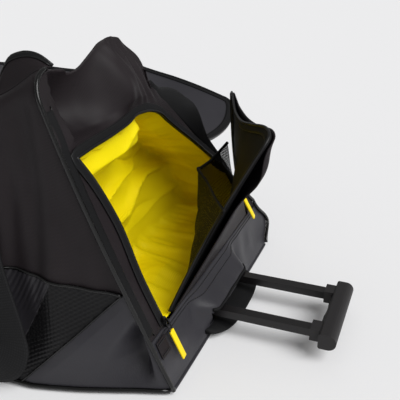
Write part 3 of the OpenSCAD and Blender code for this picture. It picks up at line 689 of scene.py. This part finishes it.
thread = finish("polyester_thread", "#202022", 0.6, Specular_IOR_Level=0.3)[0]
slot_rim = [lower_point(y, slot_z1 - 0.001) for y in steps(handle_y - slot_half, handle_y + slot_half, 30)]
sew("slot_binding", swept(slot_rim, 0.0026, 8), tape_and_shade_cloth)
seam_rows = [[lower_point(y, z, 0.0003) for y in steps(-0.226, 0.222, 60)] for z in (0.0765, 0.0715)]
seam_stitches = stitched(seam_rows, length=0.0036, pitch=0.0052, size=0.0011)
sew("seam_stitches", seam_stitches, thread)


def patch_point(y, z, proud):
    """A point on the zip's stop patch, proud of the lower panel."""
    return end_point(y, z, lower_off(y, z) + proud)


def patch_place(u, v):
    return patch_point(-0.2315 + patch_w * u, 0.052 + patch_h * v, 0.0012)


patch = sew("zip_stop_patch", cloth_grid(16, 16, patch_place, (patch_w, patch_h)), black_weave,
            thick=0.001, side=1)
tack_rows = [[patch_point(y, z, 0.0028) for y in steps(-0.229, -0.208, 8)] for z in (0.056, 0.072)]
tacks = stitched(tack_rows, length=0.0016, pitch=0.0022, size=0.0012)
sew("zip_stop_tacks", tacks, thread)

# Far side, wheel end and far corner: the far wall stands to a knee and then folds inwards, because
# the empty bag has slumped. They are the same black polyester, with a grey coated corner.
far_corner_x0 = 0.335


def far_skin(x, z):
    """A point of the far wall, creased along its knee and pushed out at its lower corner."""
    crease = 0.010 * hill(z - knee_z, 0.02) * (noise.noise(Vector((x * 7, 0.3, 5.2))) - 0.2)
    corner_puff = (far_edge(z) - far_y(z)) * hill(x - end_x(z), 0.08)
    return Vector((x, far_y(z) + belly(x, z) + drape(x, z, 0.5) + crease + corner_puff, z))


def far_place(u, v):
    z = wall_z0 + (far_h - wall_z0) * v
    x0, x1 = wheel_x(z) + seam_gap, end_x(z) - seam_gap
    return far_skin(x0 + (x1 - x0) * u, z)


far_cloth = sew("far_side_cloth", cloth_grid(130, 60, far_place, (0.86, 0.4)), black_weave,
                nodes=["far_side_panel"], thick=0.0026, side=1)


def far_corner_place(u, v):
    z = wall_z0 + (knee_z - wall_z0) * v
    return far_skin(far_corner_x0 + (end_x(z) - 0.002 - far_corner_x0) * u, z) + Vector((0, 0.0015, 0))


far_corner = sew("far_corner_cloth", cloth_grid(40, 20, far_corner_place, (0.12, 0.09)), grey_coat,
                 nodes=["far_corner_panel"], thick=0.0014, side=1)

# Painted shade: a dark sheet shaped as a fold of cloth stands in for the shade in the hollow between the far
# edge of the end and the lid.
painted_shade_root = measured([end_point(q.x, q.y, -0.003) for q in smooth(
    [crest[-3], crest[-2], crest[-1], (0.085, 0.2715), (0.130, 0.2195), (0.146, 0.2010)], 8)])
painted_shade_edge = measured(smooth([(0.331, -0.004, 0.366), (0.322, 0.034, 0.352), (0.331, 0.060, 0.348),
                                 (0.344, 0.078, 0.341), (0.361, 0.084, 0.328), (0.374, 0.088, 0.317),
                                 (0.380, 0.094, 0.299), (0.381, 0.104, 0.272), (0.382, 0.117, 0.246),
                                 (0.391, 0.146, 0.206)], 8))
painted_shade_puff = Vector((0.006, 0.004, 0.006))


def painted_shade_place(u, v):
    """A fold of dark tape cloth that spills over the far edge of the end, puffed half way across. Its dark
    tone is painted shade for the hollow between the end and the lid.
    """
    return along(painted_shade_root, u).lerp(along(painted_shade_edge, u), v) + painted_shade_puff * math.sin(math.pi * v)


painted_shade_fold = sew("far_painted_shade_fold", cloth_grid(30, 20, painted_shade_place, (0.25, 0.05)), tape_and_shade_cloth,
               thick=0.002, side=0)


def section_top(y):
    """Top of the slumped section at the wheel end."""
    near = near_y(near_h)
    if y < near:
        return near_h - top_round + math.sqrt(max(0, top_round ** 2 - (y - near) ** 2))
    if y < far_top_y:
        share = (y - near) / (far_top_y - near)
        return near_h + (far_h - near_h) * share - 0.02 * math.sin(math.pi * share)
    return far_h + (y - far_top_y) / far_slope


def wheel_end_place(u, v):
    y = near_y(near_h - top_round) * (1 - u) + half_w * u
    z = wall_z0 + (section_top(y) - wall_z0) * v
    y = max(y, near_y(z)) if y < 0 else y
    puff = 0.010 * math.sin(math.pi * u) * math.sin(math.pi * v) * noise.noise(Vector((y * 6, z * 6, 2.2)))
    return Vector((wheel_x(z) + 0.001 + puff, y, z))


wheel_bm = cloth_grid(80, 60, wheel_end_place, (0.5, 0.44))
for node in ("near_wheel_housing", "far_wheel_housing"):
    lo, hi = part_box(node)
    centres = {f: f.calc_center_median() for f in wheel_bm.faces}
    notch = [f for f, middle in centres.items() if lo.y < middle.y < hi.y and middle.z < hi.z]
    bmesh.ops.delete(wheel_bm, geom=notch, context="FACES")
wheel_cloth = sew("wheel_end_cloth", wheel_bm, black_weave, nodes=["wheel_end_panel"],
                  thick=0.0024, side=1)

# Pocket lining: thin yellow nylon, sewn in behind the opening and crumpled where the slumped shell
# pushes it forward from behind, most at the top of the near side.
lining_floor = hinge_z - 0.0095
lining_mid = Vector((-0.045, 0.205))
lining_least = 0.052
lining_more = 0.068
pleat_depth = 0.012
lining_foot = [Vector((y, hinge_z - 0.004)) for y in steps(hinge_half - 0.004, -hinge_half + 0.004, 20)]
rim_loop = measured(rim_curve + lining_foot + [rim_curve[0]])
lining_folds = [(0.322, 0.10, 0.010, 0.006), (0.286, -0.08, -0.014, 0.007), (0.268, 0.05, 0.016, 0.006),
                (0.240, -0.10, -0.014, 0.007), (0.222, 0.03, 0.018, 0.006), (0.196, -0.06, -0.012, 0.007),
                (0.172, 0.10, 0.017, 0.006), (0.146, -0.04, -0.012, 0.006), (0.124, 0.08, 0.014, 0.006)]


def lining_crumple(y, z):
    """Depth of the lining's long creases and soft buckles."""
    depth = 0.016 * noise.noise(Vector((y * 7, z * 10, 2.9)))
    for n, (start, slope, height, width) in enumerate(lining_folds):
        line = z - start - slope * y - 0.030 * noise.noise(Vector((y * 8, n * 3.1, 1.7)))
        depth -= height * math.exp(-abs(line) / width) * (0.6 + noise.noise(Vector((y * 6, n * 5.3, 4.4))))
    return depth


def lining_place(u, v):
    """The lining from its rim, pleated where it turns in, to its crumpled back."""
    rim = along(rim_loop, u)
    deep = min(1, v / 0.45)
    wide = rim + (rim - lining_mid).normalized() * 0.002 * math.sin(math.pi * deep)
    shrink = ease((v - 0.30) / 0.70)
    pleat = noise.ridged_multi_fractal(Vector((u * 19, 1.1 * v, 0.8)), 0.9, 2.1, 4, 0.9, 2.0)
    pleat += 0.8 * noise.noise(Vector((u * 11, 3 * v, 5.5)))
    wide += (lining_mid - rim).normalized() * pleat_depth * pleat * min(1, v / 0.12) * (1 - shrink)
    p = wide.lerp(lining_mid, shrink)
    push = 0.50 * (p.x + 0.22) / 0.36 + 0.80 * (0.335 - p.y) / 0.25
    forward = ease((p.y - 0.262) / 0.040) * ease((-0.02 - p.x) / 0.05)
    depth = (lining_least + lining_more * ease(push)) * (1 - 0.80 * forward)
    depth = max(0.002, depth + lining_crumple(p.x, p.y) * min(1, v / 0.25))
    return Vector((end_x(p.y) - 0.0035 - depth * (1 - (1 - deep) ** 1.8), p.x, max(p.y, lining_floor)))


lining_nylon = woven("lining_nylon", "#e8d200", "#ffec14", 0.0022, 0.00012, 0.5)
lining_bm = cloth_grid(240, 130, lining_place, (1.2, 0.30))
bmesh.ops.remove_doubles(lining_bm, verts=lining_bm.verts, dist=0.0002)
lining = sew("pocket_lining_cloth", lining_bm, lining_nylon, nodes=["pocket_lining"], thick=0.0008,
             side=0)

# Pocket zip: a black nylon coil on the edge of a woven tape, which is sewn round the opening. The flap
# carries the other half, and the main zip is made in the same way.
coil_nylon = moulded("coil_nylon", "#0b0b0c", 0.0012, 0.0003, 0.42, Specular_IOR_Level=0.35)
tape_w = 0.0105
coil_r = 0.0021
seam_r = 0.0009


def zip_edge(name, edge, inside, held, body="shell", nodes=()):
    """Half of a zip: the tape between its free edge and its seam, with the coil on one and a cord on the
    other."""
    free, sewn = measured(edge), measured(inside)
    size = free[1][-1], tape_w

    def place(u, v):
        return along(sewn, u).lerp(along(free, u), v)

    tape_bm = cloth_grid(len(edge) - 1, 4, place, size)
    tape = sew(name + "_band", tape_bm, tape_and_shade_cloth, body, nodes, thick=0.0016, side=0)
    coil = sew(name + "_coil", swept(edge, coil_r, 8), coil_nylon, body)
    seam = sew(name + "_seam", swept(inside, seam_r, 6), coil_nylon, body)
    return tape, coil, seam


def outward(curve, i, distance):
    """A curve's point moved sideways, away from the lining's middle."""
    ahead = curve[min(i + 1, len(curve) - 1)] - curve[max(i - 1, 0)]
    side = Vector((-ahead.y, ahead.x)).normalized()
    return curve[i] + side * distance


zip_edge("pocket_zip", [end_point(q.x, q.y, 0.0022) for q in rim_curve],
         [end_point(*outward(rim_curve, i, tape_w), 0.0016) for i in range(len(rim_curve))],
         "end_black_cloth", nodes=["pocket_zip_tape"])

# Pocket flap: an outer layer of black polyester and an inner layer of darker tape cloth that turn about the
# bottom seam, twisted as the flap hangs open, with the other half of the zip round its edge. The inner
# layer's darker tone is painted shade.
flap_foot = hinge_half - 0.024
flap_z0 = hinge_z + 0.0008
flap_top = measured(smooth([(0.549, -0.104, 0.326), (0.553, -0.090, 0.338), (0.540, -0.064, 0.341),
                            (0.512, -0.035, 0.333), (0.486, 0.000, 0.325), (0.461, 0.050, 0.322),
                            (0.445, 0.088, 0.326), (0.432, 0.118, 0.333), (0.428, 0.124, 0.331)], 6))
outer_top = measured(smooth([(0.551, -0.103, 0.324), (0.556, -0.088, 0.337), (0.544, -0.062, 0.340),
                             (0.517, -0.033, 0.334), (0.490, 0.004, 0.331), (0.463, 0.052, 0.331),
                             (0.446, 0.090, 0.331), (0.4325, 0.1185, 0.334), (0.4285, 0.1245, 0.332)], 6))


def flap_place(u, v):
    """The flap's inner layer, between its straight foot and its curling top edge. Its darker cloth is painted
    shade on the inner face.
    """
    foot = end_point(-flap_foot + 2 * flap_foot * u, flap_z0, 0.002)
    curl = math.sin(math.pi * v) * (0.014 * math.sin(math.pi * u) - 0.006)
    crumple = 0.004 * noise.noise(Vector((u * 4, v * 4, 8.8))) * math.sin(math.pi * u) * math.sin(math.pi * v)
    return foot.lerp(along(flap_top, u), v) + Vector((curl + crumple, 0, 0))


def flap_outer_place(u, v):
    """The outer layer, which puffs away from the inner one at the near edge."""
    foot = end_point(-flap_foot + 2 * flap_foot * u, flap_z0, 0.0045)
    puff = math.sin(math.pi * min(1, v * 0.96 + 0.02))
    curl = puff * (0.014 * math.sin(math.pi * u) - 0.006)
    slack = 0.012 * hill(v - 0.82, 0.10) * (1 - u) ** 2
    return foot.lerp(along(outer_top, u), v) + Vector((curl + 0.001 + 0.009 * puff * (1 - u) + slack, 0, 0))


# The inner layer's darker tape cloth is painted shade on the flap's inner face.
flap = sew("flap_cloth", cloth_grid(70, 60, flap_place, (0.34, 0.26)), tape_and_shade_cloth, body=None,
           nodes=["pocket_flap"], thick=0.0016, side=0)
flap_outer = sew("flap_outer_cloth", cloth_grid(70, 60, flap_outer_place, (0.34, 0.26)), black_weave,
                 body=None, thick=0.0016, side=0)


def free_edge(place, t, flank, du, dv):
    """A point at the share t of a sheet's three free sides, or inside them by du and dv. Each flank takes
    the given share, and the side across from the seam takes the rest."""
    if t < flank:
        return place(du, (1 - dv) * t / flank)
    if t < 1 - flank:
        return place(du + (1 - 2 * du) * (t - flank) / (1 - 2 * flank), 1 - dv)
    return place(1 - du, (1 - dv) * (1 - t) / flank)


def follow(*pieces):
    """Bakes each piece's placement into its mesh."""
    for piece in pieces:
        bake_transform(piece)


follow(flap, flap_outer)
flap_lift = Vector((-0.0022, 0, 0.0012))
flap_lines = [[free_edge(flap_place, t, 0.36, inset / 0.28, inset / 0.25) + flap_lift
               for t in steps(0, 1, 140)] for inset in (0.0, tape_w)]
follow(*zip_edge("flap_zip", *flap_lines, "flap_cloth", None, ["flap_zip_tape"]))

# Mesh pocket on the flap's inner face: fine knitted mesh with a bound mouth, sewn in along the flap's
# foot and sagging into the bag.
mouth = measured(smooth([(0.505, -0.136, 0.243), (0.478, -0.092, 0.236), (0.440, -0.022, 0.227),
                         (0.407, 0.022, 0.230), (0.403, 0.048, 0.224), (0.408, 0.085, 0.226),
                         (0.420, 0.128, 0.243)], 8))


def net(name, thread_hex, pitch, open_share):
    """Knitted mesh: diamond holes between black yarns, drawn about twice as coarse as the real ones."""
    material, tree, shader = finish(name, thread_hex, 0.75, Specular_IOR_Level=0.2)
    place = add(tree, "ShaderNodeTexCoord")
    turned = add(tree, "ShaderNodeMapping", {"Vector": place.outputs["UV"], "Rotation": (0, 0, math.pi / 4)})
    hole = crossed(tree, turned.outputs[0], pitch)
    yarn = add(tree, "ShaderNodeMath", {0: hole, 1: open_share}, operation="LESS_THAN")
    tree.links.new(yarn.outputs[0], shader.inputs["Alpha"])
    return material


def mesh_place(u, v):
    foot = end_point(-flap_foot + 0.010 + 2 * (flap_foot - 0.014) * u, hinge_z + 0.004, 0.001)
    sag = math.sin(math.pi * u) * math.sin(math.pi * v)
    pleat = 0.006 * noise.noise(Vector((u * 9, v * 2, 4.1))) * math.sin(math.pi * v)
    return foot.lerp(along(mouth, u), v) + Vector((-0.020 * sag + pleat, 0.004 * sag, 0))


black_net = net("knitted_mesh", "#0d0d0e", 0.0026, 0.66)
mesh_pocket = sew("mesh_pocket_cloth", cloth_grid(60, 40, mesh_place, (0.32, 0.17)), black_net,
                  body=None, nodes=["flap_mesh"])
binding = sew("mesh_binding", swept([along(mouth, t) for t in steps(0, 1, 60)], 0.0026, 8), tape_and_shade_cloth,
              body=None)
follow(mesh_pocket, binding)

# Lid: grey coated cloth with half of the main zip round three sides, thrown back about the far top
# edge. Its front end drapes over the folded far side and stands out level beyond it.
lid_lo, lid_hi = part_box("main_lid")
lid_seam_y = far_top_y + 0.0005
lid_z = 0.3225
lid_mid_x = 0.130
lid_level = 0.7
lid_front = measured(smooth([(lid_hi.x - 0.003, lid_seam_y, lid_z), (0.357, 0.090, 0.274),
                             (0.372, 0.135, 0.238), (0.377, 0.190, 0.230), (0.383, 0.245, 0.238),
                             (0.377, 0.282, 0.256), (0.362, 0.302, 0.268)], 8))


def lid_place(u, v):
    """The lid, level up to lid_mid_x and then bent to its front edge, lapping down over its hinge seam."""
    x = lid_lo.x + 0.002 + (lid_mid_x - lid_lo.x) * min(1, u / lid_level)
    y = lid_seam_y + (lid_hi.y - lid_seam_y - 0.002) * v
    point = Vector((x, y, lid_z - 0.003 * v - 0.010 * math.sin(math.pi * v)))
    if u > lid_level:
        point = point.lerp(along(lid_front, v), (u - lid_level) / (1 - lid_level))
    lap = 0.007 * max(0, 1 - v / 0.05)
    point.z -= lap + 0.030 * v * ease((0.115 - point.x) / 0.10)
    slack = 0.006 * noise.noise(Vector((point.x * 8, point.y * 9, 4.4))) * min(1, v / 0.1)
    return point + Vector((0, 0, slack))


lid = sew("lid_cloth", cloth_grid(110, 50, lid_place, (0.74, 0.29)), grey_coat, body="lid",
          nodes=["main_lid"], thick=0.004, side=0)
lid_lift = Vector((0, 0, 0.003))
lid_lines = [[free_edge(lid_place, t, 0.22, inset / 0.72, inset / 0.29) + lid_lift
              for t in steps(0.01, 0.99, 160)] for inset in (0.0, tape_w)]
zip_edge("lid_zip", *lid_lines, "lid_cloth", "lid", ["lid_zip_tape"])

# Near top border: a strip of black cloth between the near side's top seam and the main zip, whose
# stiff rim arches up where the handle end props it.
border_lo, border_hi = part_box("near_top_border")
border_y0 = near_y(near_h) - 0.004
rim_line = smooth([(-0.42, 0.4415), (0.100, 0.4415), (0.118, 0.440), (0.140, 0.428), (0.170, 0.403),
                   (0.200, 0.391), (0.220, 0.392), (0.229, 0.399), (0.239, 0.426), (0.250, 0.441),
                   (0.262, 0.447), (0.277, 0.450), (0.294, 0.447), (0.312, 0.436)], 6)


def border_place(u, v):
    x = border_lo.x + (end_x(near_h) - 0.003 - border_lo.x) * u
    seam = near_h - level(sag_line, x)
    rim = max(level(rim_line, x), 0.3)
    y1 = border_hi.y - 0.019 * ease((x - 0.15) / 0.06)
    rise = (rim - seam) * ease(v) + 0.001 * math.sin(math.pi * v)
    return Vector((x, border_y0 + (y1 - border_y0) * v, seam + 0.0008 + rise))


border = sew("border_cloth", cloth_grid(150, 14, border_place, (0.72, 0.046)), black_weave,
             nodes=["near_top_border"], thick=0.002)
border_lift = Vector((0, 0, 0.0016))
border_lines = [[border_place(t, v) + border_lift for t in steps(0, 1, 150)] for v in (1, 0.77)]
zip_edge("main_zip", *border_lines, "border_cloth")

# Zip sliders and pulls: black enamelled sliders, each with a wire eye and a moulded rubber tab, yellow
# on the pocket and black on the lid.
slider_enamel = moulded("slider_enamel", "#0e0e0f", 0.002, 0.00005, 0.34, Metallic=0.3)
yellow_rubber = moulded("pull_rubber", "#f6d806", 0.0012, 0.0001, 0.5, Specular_IOR_Level=0.35)
black_rubber = moulded("pull_rubber_black", "#151516", 0.0012, 0.0001, 0.55, Specular_IOR_Level=0.35)
dress(slider_enamel, "near_slider", "far_slider", "main_slider")
dress(black_rubber, "main_pull")
slider_y = hinge_half + 0.003
slider_s = (hinge_z + 0.002) / math.cos(end_lean)
near_tilt = math.atan2(0.040, 0.249 / math.cos(end_lean))
far_run = math.atan2(0.068, 0.118)
far_parked = 0.048
eye_up = 0.0064
eye_wire = [(0.0036, -0.019), (0.0040, -0.010), (0.0040, -0.002), (0.0025, 0), (-0.0025, 0),
            (-0.0040, -0.002), (-0.0040, -0.010), (-0.0036, -0.019)]


def pull(name, body, y, s, tilt):
    """A moulded rubber tab on a wire eye, lying on the end panel below its slider."""
    place = (Matrix.Translation((half_len, 0, 0)) @ Matrix.Rotation(-end_lean, 4, "Y")
             @ Matrix.Translation((0.0023, y, s)) @ Matrix.Rotation(math.pi / 2, 4, "Z")
             @ Matrix.Rotation(math.pi / 2, 4, "X") @ Matrix.Rotation(tilt, 4, "Z"))
    tab = bmesh.new()
    size = Matrix.Diagonal((0.0105, 0.050, 0.0034, 1))
    bmesh.ops.create_cube(tab, size=1, matrix=Matrix.Translation((0, -0.041, eye_up)) @ size)
    bmesh.ops.bevel(tab, geom=tab.edges, offset=0.0013, offset_type="OFFSET", affect="EDGES", segments=3,
                    profile=0.5, material=-1)
    bmesh.ops.transform(tab, matrix=place, verts=tab.verts)
    sew(name + "_tab", tab, yellow_rubber, body, [name])
    eye = [place @ Vector((q.x, q.y, eye_up)) for q in smooth(eye_wire, 5)]
    sew(name + "_eye", swept(eye, 0.0010, 8), slider_enamel, body)


pull("near_pull", "near_zip_pull", -slider_y, slider_s, near_tilt)
pull("far_pull", "far_zip_pull", slider_y - far_parked * math.sin(far_run),
     slider_s + far_parked * math.cos(far_run), math.radians(20))

# Telescopic handle: anodised rods in drawn aluminium tubes, held by nylon brackets on the base board,
# with a moulded nylon grip, a squeeze trigger and steel lock pins.
grip_nylon = moulded("grip_nylon", "#201e1f", 0.0014, 0.00012, 0.55, Specular_IOR_Level=0.4)
dress(grip_nylon, "grip", "front_bracket", "rear_bracket", "near_rod_plug", "far_rod_plug")
dress(moulded("trigger_nylon", "#161516", 0.0014, 0.0001, 0.5), "release_trigger")
dress(moulded("anodised_rod", "#151314", 0.004, 0.00003, 0.30, Metallic=0.2), "near_rod", "far_rod")
dress(moulded("drawn_aluminium", "#8a8a8c", 0.004, 0.00003, 0.35, Metallic=1.0), "near_tube", "far_tube")
dress(moulded("zinc_steel", "#a5a5a8", 0.003, 0.00003, 0.32, Metallic=1.0), "bracket_screws", "near_lock_pin",
      "far_lock_pin", "near_axle", "far_axle")

# Sleeve and throat lip: a cloth tunnel covers the tubes inside the bag, and a tongue of doubled cloth
# sticks out under the slot, below the rods.
sleeve_lo, sleeve_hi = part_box("handle_sleeve")
sleeve_half = (sleeve_hi.y - sleeve_lo.y) / 2 - 0.001
sleeve_square = 0.4
lip_half = 0.100
lip_out = 0.038


def sleeve_place(u, v):
    """The tunnel from one foot over the tubes to the other, with its corners rounded off."""
    x = sleeve_lo.x + (sleeve_hi.x - sleeve_lo.x) * u
    across = math.cos(math.pi * v)
    y = (sleeve_lo.y + sleeve_hi.y) / 2 - sleeve_half * math.copysign(abs(across) ** sleeve_square, across)
    rise = abs(math.sin(math.pi * v)) ** sleeve_square
    z = sleeve_lo.z + (sleeve_hi.z - 0.001 - sleeve_lo.z) * rise
    return Vector((x, y, z + 0.002 * noise.noise(Vector((x * 20, y * 20, 6.1)))))


sleeve = sew("sleeve_cloth", cloth_grid(70, 30, sleeve_place, (0.61, 0.25)), black_weave,
             nodes=["handle_sleeve"], thick=0.0016)


def lip_place(u, v):
    """The tongue, rounded at its two corners and drooping a little."""
    side = 2 * u - 1
    x = end_x(slot_lo.z) + 0.001 + lip_out * v * math.sqrt(max(0.0004, 1 - abs(side) ** 3.2))
    return Vector((x, lip_half * side, slot_lo.z + 0.0015 - 0.006 * v ** 2))


lip = sew("throat_lip_cloth", cloth_grid(60, 14, lip_place, (0.2, lip_out)), tape_and_shade_cloth,
          nodes=["throat_lip"], thick=0.0026, side=0)

# Wheels: moulded rubber tyres on nylon hubs, which turn on steel axles inside the housings at the
# wheel end. Both wheels are alike.
dress(moulded("tyre_rubber", "#161617", 0.002, 0.0002, 0.7), "near_tyre", "far_tyre")
dress(moulded("hub_nylon", "#56565a", 0.0015, 0.0001, 0.5), "near_hub", "far_hub")

# Carry straps: ribbed webbing, sewn to each side at two legs that splay out, with a hand loop between.
# The near one hangs almost to the floor, and the far one lies on the folded far wall.
webbing = woven("ribbed_webbing", "#121213", "#1f1f21", 0.0036, 0.0004, 0.75)
strap_w = 0.05
strap_line = [(0.147, 0), (0.151, 0.06), (0.160, 0.267), (0.181, 0.516), (0.194, 0.68), (0.198, 0.80),
              (0.184, 0.935), (0.148, 0.990), (0.080, 1), (0.030, 1)]


def strap(name, node, body, top, foot, out):
    """Webbing from its seam at top, a place in y and z, down one leg to foot and up the other leg."""
    lo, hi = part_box(node)
    mid = (lo.x + hi.x) / 2
    path = [Vector((mid - a, top[0] + (foot[0] - top[0]) * b, top[1] + (foot[1] - top[1]) * b))
            for a, b in strap_line]
    path += [Vector((2 * mid - q.x, q.y, q.z)) for q in reversed(path)]
    curve = measured(smooth(path, 12))
    length = curve[1][-1]

    def place(u, v):
        ahead = (along(curve, u + 0.004) - along(curve, u - 0.004)).normalized()
        return along(curve, u) + ahead.cross(out).normalized() * strap_w * (v - 0.5)

    strap_bm = cloth_grid(180, 8, place, (length, strap_w))
    piece = sew(name, strap_bm, webbing, body, [node], thick=0.003, side=0)


near_strap_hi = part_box("near_carry_strap")[1]
far_strap_lo, far_strap_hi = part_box("far_carry_strap")
strap("near_strap_webbing", "near_carry_strap", "near_strap",
      (near_strap_hi.y - 0.002, near_strap_hi.z - 0.002), (-0.316, 0.031),
      Vector((0, -1, -0.25)).normalized())
strap("far_strap_webbing", "far_carry_strap", "far_strap",
      (far_strap_lo.y + 0.002, far_strap_hi.z - 0.002), (far_strap_hi.y - 0.020, far_strap_lo.z + 0.020),
      Vector((0, 0.68, 0.73)).normalized())
